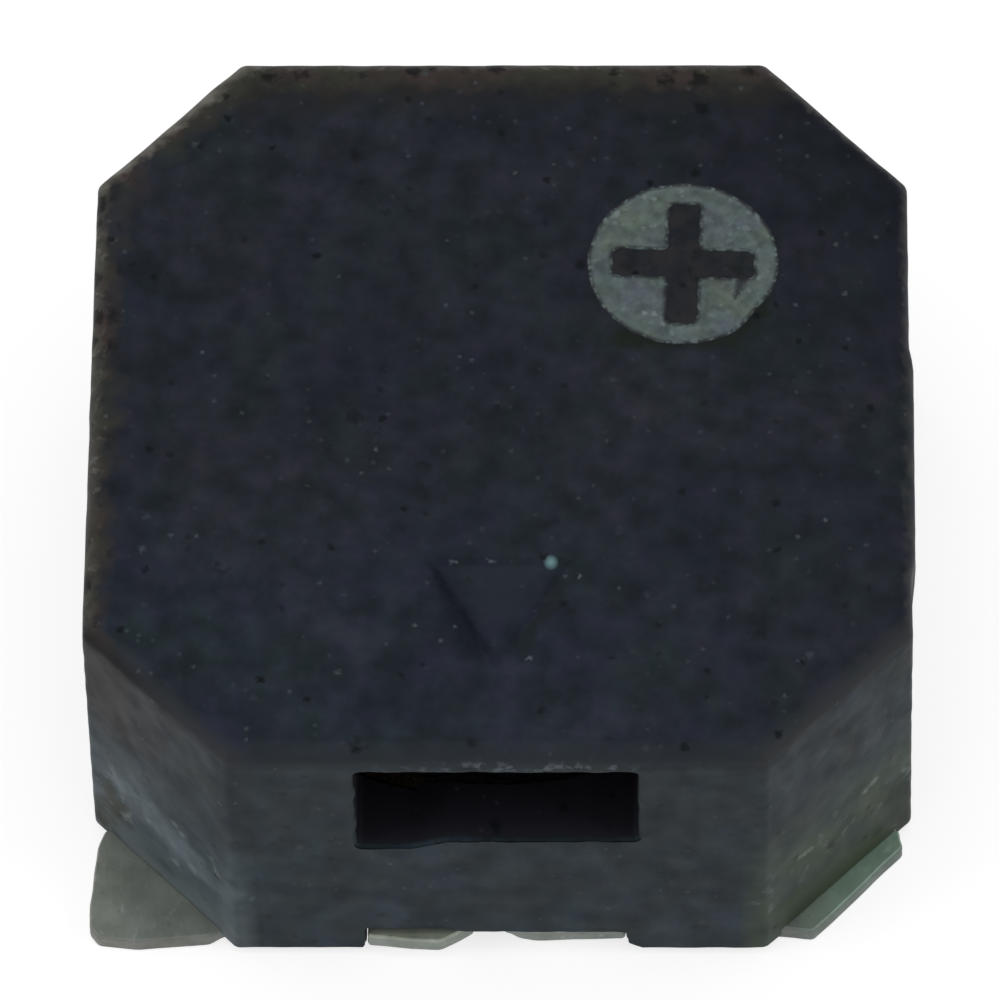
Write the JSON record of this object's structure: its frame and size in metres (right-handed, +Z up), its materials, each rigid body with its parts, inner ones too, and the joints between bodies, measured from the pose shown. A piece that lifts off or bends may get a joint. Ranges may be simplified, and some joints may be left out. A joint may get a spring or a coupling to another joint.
{
  "type": "surface-mount magnetic buzzer",
  "caption": "Low square sound transducer with clipped corners, a slot-shaped side sound port, a polarity mark on top and solder pads at its corners.",
  "frame": {"origin": "on the board's surface, under the centre of the case", "axes": "+Z up from the board, sound port facing -Y, positive terminal on the +X side"},
  "size_m": [0.0086, 0.0087, 0.004],
  "materials": {
    "case_plastic": "moulded, dull, with fine grain",
    "base_plastic": "moulded, dull",
    "tinned_sheet": "dull tin plating over brass sheet",
    "solder": "bright solder",
    "lead_wire": "bare copper wire",
    "coil_wire": "enamelled copper wire",
    "yoke_steel": "zinc-plated soft steel",
    "core_steel": "turned soft steel",
    "magnet": "bonded magnet, dark and fine-grained",
    "ring_brass": "turned brass",
    "diaphragm_steel": "rolled foil",
    "weight_steel": "punched disc",
    "clear_glue": "cured adhesive, amber",
    "black_seal": "cured sealing compound, black"
  },
  "bodies": {
    "root": {"case": "case_plastic", "case_glue": "clear_glue", "base": "base_plastic", "terminal_positive": "tinned_sheet", "terminal_negative": "tinned_sheet", "solder_joint_positive": "solder", "solder_joint_negative": "solder", "coil_lead_positive": "lead_wire", "coil_lead_negative": "lead_wire", "lead_seal_positive": "black_seal", "lead_seal_negative": "black_seal", "yoke_plate": "yoke_steel", "core": "core_steel", "coil": "coil_wire", "coil_glue": "clear_glue", "ring_magnet": "magnet", "magnet_glue": "clear_glue", "support_ring": "ring_brass", "diaphragm": "diaphragm_steel", "diaphragm_weight": "weight_steel"}
  },
  "joints": []
}
